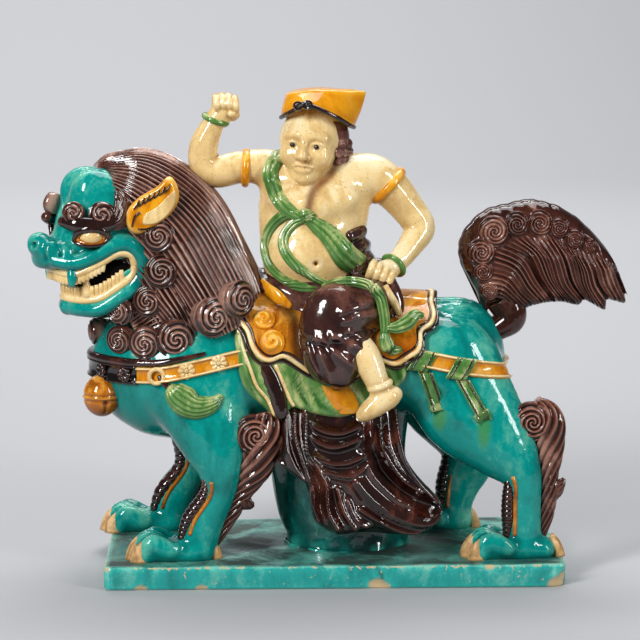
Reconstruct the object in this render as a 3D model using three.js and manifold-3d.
// A glazed stoneware roof ridge ornament: a rider on a striding lion, luted to a flat slab and fired
// as one piece. Millimetres, +Z up, the lion faces -X and the finished side faces -Y. The origin is
// the middle of the slab's underside.
import * as THREE from "three";
import { mergeVertices } from "three/addons/utils/BufferGeometryUtils.js";
import Module from "manifold-3d";

// Driving dimensions. A station of a limb is [x, y, z, half width across, half depth].

const SLAB = { length: 452, depth: 202, height: 23, corner: 7 };
const TRUNK = [
  [-214, 0, 214, 44, 46],
  [-180, 0, 209, 61, 69],
  [-130, 0, 208, 68, 78],
  [-70, 0, 212, 67, 66],
  [0, 0, 213, 66, 60],
  [70, 0, 214, 67, 58],
  [122, 0, 208, 66, 60],
  [156, 0, 208, 52, 47],
];
const LEG_SPREAD = 62;
const FRONT_LEG = [
  [-138, 46, 196, 24, 46],
  [-122, 56, 150, 26, 37],
  [-113, LEG_SPREAD, 116, 22, 24],
  [-114, LEG_SPREAD, 90, 19, 17],
  [-128, LEG_SPREAD, 62, 16, 20],
  [-136, LEG_SPREAD, 36, 17, 20],
];
const HIND_LEG = [
  [122, 40, 206, 28, 50],
  [136, 50, 172, 28, 52],
  [164, 58, 136, 24, 36],
  [184, LEG_SPREAD, 106, 19, 21],
  [186, LEG_SPREAD, 72, 18, 18],
  [186, LEG_SPREAD, 36, 19, 19],
];
const FRONT_STRIDE = -32;
const HIND_STRIDE = -58;
const PAW = { half: 23, height: 20, knuckle: 11, toes: 3, claw: 17 };
// How far the toes reach ahead of the ankle and the heel behind it.
const FRONT_REACH = { toe: 61, heel: 24 };
const HIND_REACH = { toe: 52, heel: 36 };
const FRONT_TUFT = [
  [-78, 64, 150, 11, 20],
  [-84, 66, 114, 9, 15],
  [-96, 65, 80, 8, 11],
  [-110, LEG_SPREAD, 44, 5, 5],
];
const HIND_TUFT = [
  [204, 56, 156, 10, 20],
  [220, 58, 126, 9, 13],
  [212, 60, 88, 8, 10],
  [206, LEG_SPREAD, 46, 5, 5],
];
const TUFT_CURL = 20;

const HEAD = { x: -215, y: -5, z: 345, turn: 25 };
const MANE = [
  [-224, -4, 395, 34, 24],
  [-198, -3, 376, 52, 47],
  [-160, -1, 345, 62, 53],
  [-130, 0, 300, 68, 46],
  [-116, 0, 258, 70, 45],
];
const MANE_STRANDS = 10;
const STRAND_DEPTH = 0.04;
// The curls along the mane's lower edge: [x, distance from the middle plane, z, radius]
const MANE_CURLS = [
  [-170, 58, 342, 15],
  [-168, 62, 308, 17],
  [-182, 55, 277, 16],
  [-209, 52, 268, 15],
  [-212, 47, 240, 15],
  [-186, 60, 240, 16],
  [-155, 61, 246, 19],
  [-119, 70, 264, 20],
  [-94, 66, 280, 18],
];
const TAIL = [
  [134, 0, 314, 12, 20],
  [146, 0, 312, 20, 42],
  [170, 0, 312, 25, 55],
  [202, 0, 316, 24, 53],
  [240, 0, 309, 20, 43],
  [270, 0, 292, 13, 28],
  [289, 0, 277, 6, 10],
];
const TAIL_STUB = [
  [160, 0, 226, 15, 15],
  [178, 0, 248, 13, 14],
  [172, 0, 280, 14, 16],
];
const TAIL_STRANDS = 9;
const TAIL_CURLS = [
  [152, 22, 320, 14],
  [163, 22, 339, 14],
  [186, 21, 346, 12],
  [208, 20, 347, 12],
];

const RIDER_TORSO = [
  [-16, 6, 262, 46, 40],
  [-20, 0, 292, 48, 43],
  [-20, -1, 330, 51, 42],
  [-18, 2, 366, 55, 36],
  [-15, 4, 392, 46, 27],
  [-16, 2, 408, 20, 20],
];
const RAISED_ARM = [
  [-44, 4, 394, 21, 21],
  [-80, 2, 403, 18, 18],
  [-114, 0, 399, 16, 16],
  [-127, -1, 408, 15, 15],
  [-125, -3, 428, 14, 14],
  [-113, -5, 452, 10, 10],
];
const HIP_ARM = [
  [22, 4, 390, 23, 24],
  [54, 8, 384, 21, 21],
  [87, 8, 345, 16, 16],
  [80, -2, 327, 13, 13],
  [58, -20, 305, 10, 10],
];
const THIGH = [
  [34, 34, 258, 26, 30],
  [14, 60, 270, 25, 30],
  [-10, 72, 266, 22, 27],
];
const SHIN = [
  [-6, 74, 256, 20, 24],
  [20, 79, 238, 18, 21],
  [34, 81, 216, 13, 14],
  [42, 82, 190, 11, 12],
];
const FOOT = [
  [58, 82, 188, 11, 11],
  [44, 83, 184, 12, 12],
  [27, 84, 173, 10, 8],
];
const RIDER_HEAD = { x: -24, y: -6, z: 424, wide: 30, deep: 32, high: 38 };

// Cloth and harness lie on the lion's flank as raised layers. Outlines are [x, z] on the side view.
const CLOTH_LIFT = 4;
const CLOTH_OUTLINE = [
  [-98, 305],
  [-97, 244],
  [-84, 198],
  [-60, 165],
  [-20, 160],
  [30, 162],
  [66, 176],
  [86, 215],
  [98, 260],
  [98, 305],
];
const SADDLE_LIFT = 9;
const SADDLE_OUTLINE = [
  [-90, 305],
  [-92, 258],
  [-64, 230],
  [-34, 214],
  [10, 212],
  [44, 222],
  [72, 240],
  [97, 262],
  [96, 305],
];
const STRAP = { lift: 5, width: 15 };
const BREAST_STRAP = [
  [-250, 210],
  [-200, 206],
  [-150, 212],
  [-92, 224],
];
const CRUPPER = [
  [70, 225],
  [110, 217],
  [190, 203],
];
const BELL = { x: -230, y: -34, z: 181, radius: 18.5, high: 21.5 };

// The robe's skirt hangs in folds beside the post that carries the belly.
const DRAPE = { top: 176, hem: 50, folds: 4, foldDepth: 5, back: 26, nearTop: 68, nearHem: 90 };
const DRAPE_LEFT = [-62, -57, -40, -14];
const DRAPE_RIGHT = [62, 68, 90, 102];
const POST = [
  [10, 0, 150, 72, 46],
  [12, 0, 100, 68, 42],
  [15, 0, 60, 60, 40],
  [15, 0, 30, 62, 42],
];

const SIDES = { near: -1, far: 1 };
const acrossX = [1, 0, 0];

// Solids from three.js geometry, and their union

const wasm = await Module();
wasm.setup();

function solid(geometry) {
  geometry.deleteAttribute("normal");
  geometry.deleteAttribute("uv");
  const merged = mergeVertices(geometry, 1e-3);
  const vertProperties = new Float32Array(merged.attributes.position.array);
  const triVerts = new Uint32Array(merged.index.array);
  if (signedVolume(vertProperties, triVerts) < 0) triVerts.reverse();
  return new wasm.Manifold(new wasm.Mesh({ numProp: 3, vertProperties, triVerts }));
}

function signedVolume(points, triangles) {
  const corner = (i) => new THREE.Vector3().fromArray(points, 3 * triangles[i]);
  let sum = 0;
  for (let i = 0; i < triangles.length; i += 3) {
    sum += corner(i).dot(corner(i + 1).cross(corner(i + 2)));
  }
  return sum / 6;
}

function join(...solids) {
  return solids.flat(Infinity).reduce((whole, piece) => whole.add(piece));
}

function geometryOf(manifold) {
  const { vertProperties, triVerts } = manifold.getMesh();
  const geometry = new THREE.BufferGeometry();
  geometry.setAttribute("position", new THREE.BufferAttribute(vertProperties, 3));
  geometry.setIndex(new THREE.BufferAttribute(triVerts, 1));
  return geometry;
}

// A closed skin over rings of equal point count, each end shut by a fan to its own pole.
function skin(rings, startPole, endPole) {
  const count = rings[0].length;
  const points = [...rings.flat(), startPole, endPole];
  const triangles = [];
  for (let r = 0; r + 1 < rings.length; r++) {
    for (let i = 0; i < count; i++) {
      const a = r * count + i;
      const b = r * count + ((i + 1) % count);
      triangles.push(a, b, b + count, a, b + count, a + count);
    }
  }
  const last = (rings.length - 1) * count;
  for (let i = 0; i < count; i++) {
    const j = (i + 1) % count;
    triangles.push(points.length - 2, j, i, points.length - 1, last + i, last + j);
  }
  const geometry = new THREE.BufferGeometry().setFromPoints(points);
  geometry.setIndex(triangles);
  return solid(geometry);
}

// A round-ended limb along a smooth path through its stations, its width along `across`.
// `flute` scales the section's radius with the angle about the path, for combed hair.
function limb(stations, options = {}) {
  const { sides = 8, steps = 1, across = [0, 1, 0], lift = 0, cap = 0.6, flute = () => 1 } = options;
  const centres = stations.map(([x, y, z]) => new THREE.Vector3(x, y, z));
  const radii = stations.map(([, , , wide, deep]) => new THREE.Vector3(wide + lift, deep + lift, 0));
  const path = new THREE.CatmullRomCurve3(centres, false, "catmullrom");
  const section = new THREE.CatmullRomCurve3(radii, false, "catmullrom");
  const reference = new THREE.Vector3(...across);
  const ring = (t, scale, slide) => {
    const tangent = path.getTangent(t);
    const side = reference.clone().addScaledVector(tangent, -reference.dot(tangent)).normalize();
    const up = side.clone().cross(tangent);
    const size = section.getPoint(t);
    const middle = path.getPoint(t).addScaledVector(tangent, slide * cap * Math.min(size.x, size.y));
    return Array.from({ length: sides }, (_, i) => {
      const angle = (2 * Math.PI * i) / sides;
      const reach = scale * flute(angle);
      return middle
        .clone()
        .addScaledVector(side, size.x * reach * Math.cos(angle))
        .addScaledVector(up, size.y * reach * Math.sin(angle));
    });
  };
  const total = steps * (stations.length - 1);
  const rings = [ring(0, 0.72, -0.7)];
  for (let i = 0; i <= total; i++) rings.push(ring(i / total, 1, 0));
  rings.push(ring(1, 0.72, 0.7));
  return skin(rings, ring(0, 0, -1)[0], ring(1, 0, 1)[0]);
}

// An ellipsoid, turned by degrees about X, Y and Z.
function ball([x, y, z], [rx, ry, rz], turn = [0, 0, 0], sides = 7) {
  const geometry = new THREE.SphereGeometry(1, sides, Math.round(sides * 0.7));
  const angles = turn.map(THREE.MathUtils.degToRad);
  const place = new THREE.Matrix4().compose(
    new THREE.Vector3(x, y, z),
    new THREE.Quaternion().setFromEuler(new THREE.Euler(...angles)),
    new THREE.Vector3(rx, ry, rz),
  );
  return solid(geometry.applyMatrix4(place));
}

// A side outline as a plate between two distances along Y.
function plate(shape, fromY, toY, curveSegments = 2) {
  const options = { depth: toY - fromY, curveSegments, bevelEnabled: false };
  const geometry = new THREE.ExtrudeGeometry(shape, options);
  return solid(geometry.rotateX(Math.PI / 2).translate(0, toY, 0));
}

function closedSpline(outline) {
  const shape = new THREE.Shape();
  shape.moveTo(...outline[0]);
  shape.splineThru(outline.slice(1).map(([x, z]) => new THREE.Vector2(x, z)));
  return shape;
}

// A band of one width along a side route.
function bandShape(route, width) {
  const lower = route.map(([x, z]) => new THREE.Vector2(x, z - width / 2));
  const upper = route.map(([x, z]) => new THREE.Vector2(x, z + width / 2));
  return new THREE.Shape([...lower, ...upper.reverse()]);
}

const mirrored = (stations, side) => stations.map(([x, y, ...rest]) => [x, side * y, ...rest]);
const combed = (strands) => (angle) => 1 + STRAND_DEPTH * Math.cos(strands * angle);
const bothSides = (make) => Object.values(SIDES).map(make);

// The slab

function slab() {
  const { length, depth, height, corner } = SLAB;
  const [x, y] = [length / 2 - corner, depth / 2 - corner];
  const outline = new THREE.Shape();
  outline.absarc(x, -y, corner, -Math.PI / 2, 0);
  outline.absarc(x, y, corner, 0, Math.PI / 2);
  outline.absarc(-x, y, corner, Math.PI / 2, Math.PI);
  outline.absarc(-x, -y, corner, Math.PI, 1.5 * Math.PI);
  const options = { depth: height, bevelEnabled: false, curveSegments: 2 };
  return solid(new THREE.ExtrudeGeometry(outline, options));
}

// The lion's legs. The far pair stride ahead of the near pair, more so towards the paw.

function strideLeg(stations, side, stride) {
  const [top, bottom] = [stations[0][2], stations.at(-1)[2]];
  const stepped = stations.map(([x, y, z, wide, deep]) => {
    const raised = (z - bottom) / (top - bottom);
    return [x + stride * (1 - raised * raised), y, z, wide, deep];
  });
  return mirrored(stepped, side);
}

// A paw is a low dome on the slab, higher and lobed towards its toes.
function paw([ankleX, y], reach) {
  const floor = SLAB.height - 1;
  const half = (reach.heel + reach.toe) / 2;
  const middle = new THREE.Vector3(ankleX + (reach.heel - reach.toe) / 2, y, floor);
  const points = 4 * PAW.toes;
  const level = ([up, share]) =>
    Array.from({ length: points }, (_, i) => {
      const angle = (2 * Math.PI * i) / points;
      const front = Math.max(0, -Math.cos(angle));
      const spread = share * (1 + 0.1 * front * Math.cos(2 * PAW.toes * angle));
      const height = up * (PAW.height + PAW.knuckle * front * front);
      const corner = new THREE.Vector3(half * Math.cos(angle), PAW.half * Math.sin(angle), 0);
      return corner.multiplyScalar(spread).setZ(height).add(middle);
    });
  const levels = [
    [0, 1],
    [0.6, 1],
    [1, 0.6],
  ].map(level);
  const top = middle.clone().setZ(floor + PAW.height);
  const claws = [-1, 0, 1].map((i) => {
    const x = ankleX - reach.toe + 4 * Math.abs(i);
    return claw(x, y + i * PAW.half * 0.6, floor, -1);
  });
  return join(skin(levels, middle, top), claws, claw(ankleX + reach.heel, y, floor, 1));
}

// A claw is a cone that leans down and out from the toe to the slab.
function claw(x, y, floor, direction) {
  const cone = new THREE.ConeGeometry(PAW.claw / 2, PAW.claw, 4).rotateX(Math.PI / 2);
  return solid(cone.rotateY(direction * 2.2).translate(x, y, floor + PAW.claw * 0.45));
}

function leg(stations, tuft, side, stride, reach) {
  const placed = strideLeg(stations, side, stride);
  const hair = strideLeg(tuft, side, stride);
  const [x, y, z, wide] = hair[0];
  return join(
    limb(placed),
    paw(placed.at(-1), reach),
    limb(hair, { sides: 5 }),
    curl(x, y + side * wide * 0.4, z, TUFT_CURL, side),
  );
}

function legs() {
  return [
    leg(FRONT_LEG, FRONT_TUFT, SIDES.near, 0, FRONT_REACH),
    leg(FRONT_LEG, FRONT_TUFT, SIDES.far, FRONT_STRIDE, FRONT_REACH),
    leg(HIND_LEG, HIND_TUFT, SIDES.near, 0, HIND_REACH),
    leg(HIND_LEG, HIND_TUFT, SIDES.far, HIND_STRIDE, HIND_REACH),
  ];
}

// A curl of hair: a low dome with a sunk ring about its button, facing out along Y.
function curl(x, y, z, radius, side) {
  const rise = radius * 0.6;
  const profile = [
    [0, -rise],
    [radius, 0],
    [radius * 0.75, rise * 0.8],
    [radius * 0.4, rise * 0.5],
    [0, rise],
  ].map(([r, h]) => new THREE.Vector2(r, h));
  const dome = new THREE.LatheGeometry(profile, 6);
  return solid((side < 0 ? dome.rotateX(Math.PI) : dome).translate(x, y, z));
}

function mane() {
  const hood = limb(MANE, { sides: 2 * MANE_STRANDS, steps: 2, flute: combed(MANE_STRANDS) });
  const ruff = ball([-180, 0, 258], [47, 58, 42], [0, 0, 0], 8);
  const near = MANE_CURLS.map(([x, y, z, r]) => curl(x, -y, z, r, SIDES.near));
  const fewer = MANE_CURLS.filter((_, i) => i % 2 === 0);
  const far = fewer.map(([x, y, z, r]) => curl(x, y, z, r, SIDES.far));
  return join(hood, ruff, near, far);
}

function tail() {
  const plume = limb(TAIL, { sides: 2 * TAIL_STRANDS, flute: combed(TAIL_STRANDS) });
  const curls = TAIL_CURLS.map(([x, y, z, r]) => curl(x, -y, z, r, SIDES.near));
  return join(plume, limb(TAIL_STUB, { sides: 5 }), curls);
}

// The lion's head, made facing -X about its own middle and then turned towards the near side.

function lionHead() {
  const skull = ball([-16, 0, 22], [42, 46, 44], [0, 0, 0], 9);
  const muzzle = limb([
    [-6, 0, -8, 45, 26],
    [-44, 0, -12, 37, 19],
    [-78, 0, -15, 28, 13],
  ]);
  const jaw = limb([
    [8, 0, -46, 42, 24],
    [-24, 0, -63, 35, 17],
    [-54, 0, -63, 26, 12],
  ]);
  const mouth = limb([
    [-6, 0, -33, 64, 6],
    [-80, 0, -43, 64, 13],
  ], { sides: 6 });
  const nose = ball([-86, 0, -7], [9, 17, 9]);
  const pairs = bothSides((side) => [
    ball([-42, side * 32, -3], [13, 12, 12], [0, 0, 0], 6),
    ball([-44, side * 26, 18], [18, 20, 12], [0, 0, 0], 6),
    curl(-22, side * 46, 20, 13, side),
    ball([2, side * 32, -34], [24, 15, 32], [0, 0, 0], 6),
    ear(side),
  ]);
  const made = join(join(skull, muzzle, jaw).subtract(mouth), throat(), nose, pairs);
  const place = new THREE.Matrix4().makeRotationZ(THREE.MathUtils.degToRad(HEAD.turn));
  return solid(geometryOf(made).applyMatrix4(place.setPosition(HEAD.x, HEAD.y, HEAD.z)));
}

// The back of the open mouth, with the tongue lying in it.
function throat() {
  return join(ball([2, 0, -36], [20, 34, 26]), ball([-34, 0, -48], [30, 16, 8], [0, -8, 0]));
}

function ear(side) {
  const leaf = [
    [-10, side * 46, 14, 12, 12],
    [10, side * 56, 32, 9, 21],
    [36, side * 60, 54, 4, 5],
  ];
  return limb(leaf, { sides: 6, across: [0.3, 1, 0.4] });
}

// The rider

function rider() {
  const { x, y, z, wide, deep, high } = RIDER_HEAD;
  const head = join(
    ball([x, y, z], [wide, deep, high], [0, 0, 0], 8),
    ball([x + 14, y + 12, z - 4], [26, 26, 32]),
    hat(x + 8, y + 4, z + 24),
  );
  const legPairs = bothSides((side) => [
    limb(mirrored(THIGH, side), { sides: 7 }),
    limb(mirrored(SHIN, side), { sides: 7 }),
    limb(mirrored(FOOT, side), { sides: 6 }),
  ]);
  return join(
    limb(RIDER_TORSO, { sides: 10, across: acrossX }),
    head,
    limb(RAISED_ARM, { sides: 7 }),
    ball([-107, -5, 465], [16, 14, 17]),
    limb(HIP_ARM, { sides: 7 }),
    ball([47, -27, 298], [17, 13, 15]),
    legPairs,
    sash(),
  );
}

// A low cap, turned on a lathe, with a point drawn out to the back.
function hat(x, y, z) {
  const profile = [
    [0, -4],
    [34, -4],
    [36, 8],
    [38, 22],
    [30, 32],
    [0, 36],
  ].map(([r, h]) => new THREE.Vector2(r, h));
  const crown = new THREE.LatheGeometry(profile, 9).rotateX(Math.PI / 2).scale(1, 0.92, 1);
  const point = limb([
    [x + 8, y, z + 18, 20, 12],
    [x + 30, y + 2, z + 24, 12, 8],
    [x + 46, y + 2, z + 27, 5, 3],
  ], { sides: 5 });
  return join(solid(crown.rotateY(-0.12).translate(x, y, z)), point);
}

// The point of the torso's front at a place on the front view, lifted off its skin.
function torsoFront(x, z, lift) {
  const above = RIDER_TORSO.findIndex((station) => station[2] >= z);
  const [low, high] = [RIDER_TORSO[above - 1], RIDER_TORSO[above]];
  const share = (z - low[2]) / (high[2] - low[2]);
  const [cx, cy, , wide, deep] = low.map((value, i) => value + share * (high[i] - value));
  const reach = Math.sqrt(Math.max(0.08, 1 - ((x - cx) / wide) ** 2));
  return [x, cy - deep * reach - lift, z];
}

function sash() {
  const scarf = (route, wide, deep) => {
    const stations = route.map(([x, z]) => [...torsoFront(x, z, deep * 0.3), deep, wide]);
    return limb(stations, { sides: 5, across: [0, -1, 0] });
  };
  return join(
    scarf([[-58, 400], [-62, 376], [-52, 352], [-30, 344]], 9, 6),
    scarf([[-58, 350], [-66, 318], [-48, 294], [-12, 280]], 8, 5),
    scarf([[-34, 350], [-6, 342], [16, 318], [22, 306]], 13, 6),
    ball([...torsoFront(-32, 350, 2)], [16, 10, 12]),
  );
}

// Cloth and harness: layers lifted off the flank, cut to their side outlines

function flank(lift) {
  const hips = bothSides((side) => limb(mirrored(HIND_LEG.slice(0, 3), side), { lift }));
  return join(limb(TRUNK, { sides: 12, lift }), hips);
}

function cloths() {
  const reach = SLAB.depth;
  const cut = (body, shape) => body.intersect(plate(shape, -reach, reach));
  const trunk = (lift) => limb(TRUNK, { sides: 12, lift });
  return join(
    cut(trunk(CLOTH_LIFT), closedSpline(CLOTH_OUTLINE)),
    cut(trunk(SADDLE_LIFT), closedSpline(SADDLE_OUTLINE)),
    cut(trunk(STRAP.lift), bandShape(BREAST_STRAP, STRAP.width)),
    cut(flank(STRAP.lift), bandShape(CRUPPER, STRAP.width)),
  );
}

function bellAndTassel() {
  const { x, y, z, radius, high } = BELL;
  const tassel = [
    [-164, -66, 200, 6, 6],
    [-148, -72, 182, 6, 14],
    [-114, -74, 182, 4, 5],
  ];
  return join(ball([x, y, z], [radius, radius, high]), limb(tassel, { sides: 6 }));
}

// The robe's skirt: hanging folds that deepen and spread towards the hem.
function drape(side) {
  const across = 14;
  const down = 4;
  const edge = (values, v) => {
    const points = values.map((x) => new THREE.Vector3(x, 0, 0));
    return new THREE.CatmullRomCurve3(points, false, "catmullrom").getPoint(v).x;
  };
  const ring = (v) => {
    const [left, right] = [edge(DRAPE_LEFT, v), edge(DRAPE_RIGHT, v)];
    const z = THREE.MathUtils.lerp(DRAPE.top, DRAPE.hem, v);
    const front = THREE.MathUtils.lerp(DRAPE.nearTop, DRAPE.nearHem, v * v);
    const outer = Array.from({ length: across + 1 }, (_, i) => {
      const u = i / across;
      const fold = DRAPE.foldDepth * (0.3 + 0.7 * v) * Math.cos(2 * Math.PI * DRAPE.folds * u);
      const bow = 12 * (1 - (2 * u - 1) ** 4) - 12;
      return new THREE.Vector3(THREE.MathUtils.lerp(left, right, u), side * (front + fold * 0.6 + bow), z);
    });
    const back = [right - 4, left + 4].map((x) => new THREE.Vector3(x, side * DRAPE.back, z));
    return [...outer, ...back];
  };
  const rings = Array.from({ length: down + 1 }, (_, i) => ring(i / down));
  const middle = (points) => {
    const sum = points.reduce((total, point) => total.add(point), new THREE.Vector3());
    return sum.divideScalar(points.length);
  };
  return skin(rings, middle(rings[0]), middle(rings.at(-1)));
}

// The finished ornament as one fired body

function mesh(name, manifold, colour) {
  const geometry = geometryOf(manifold);
  geometry.computeVertexNormals();
  const glaze = new THREE.MeshStandardMaterial({ color: colour, roughness: 0.15, metalness: 0 });
  const made = new THREE.Mesh(geometry, glaze);
  made.name = name;
  return made;
}

const fired = join(
  slab(),
  limb(TRUNK, { sides: 12 }),
  legs(),
  limb(POST, { across: acrossX }),
  bothSides(drape),
  mane(),
  lionHead(),
  tail(),
  cloths(),
  bellAndTassel(),
  rider(),
);

const ornament = new THREE.Group();
ornament.add(mesh("ridge_beast", fired, 0x1f8a7c));

export default ornament;
